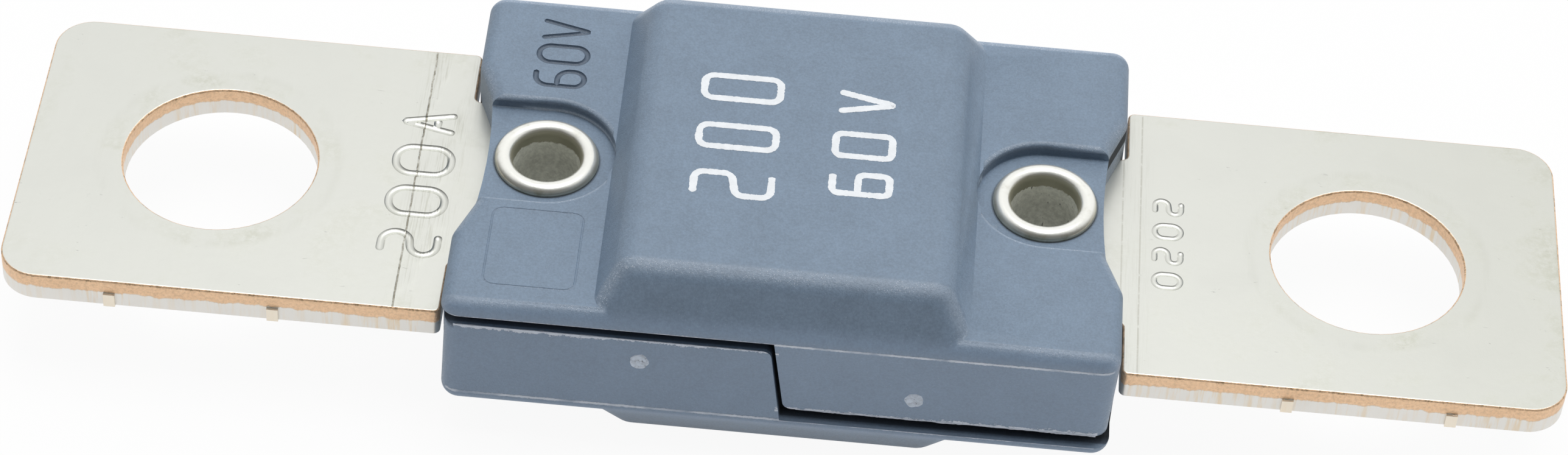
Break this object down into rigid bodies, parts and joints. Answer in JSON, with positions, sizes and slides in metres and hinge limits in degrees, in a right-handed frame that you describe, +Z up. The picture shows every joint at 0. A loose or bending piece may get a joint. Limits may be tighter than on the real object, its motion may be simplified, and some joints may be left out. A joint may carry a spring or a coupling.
{
  "type": "bolt-down strip fuse",
  "caption": "Flat metal strip with a stud hole in each end and a riveted plastic housing round its middle, for bolting into a high-current circuit.",
  "frame": {"origin": "centre of the fuse, on the mid-plane of the strip, halfway between the two stud holes", "axes": "+X along the strip, +Y to the back, +Z up through the hump of the upper housing half"},
  "size_m": [0.068, 0.0194, 0.0104],
  "materials": {
    "housing": "fine moulded grain",
    "strip": "tin-plated copper, bare copper on the upper part of the cut edges",
    "tin": "satin",
    "eyelet": "tin-plated, rolled"
  },
  "bodies": {
    "root": {"upper_housing": "housing", "lower_housing": "housing", "fuse_strip": "strip", "tin_pellet": "tin", "left_eyelet": "eyelet", "right_eyelet": "eyelet"}
  },
  "joints": []
}
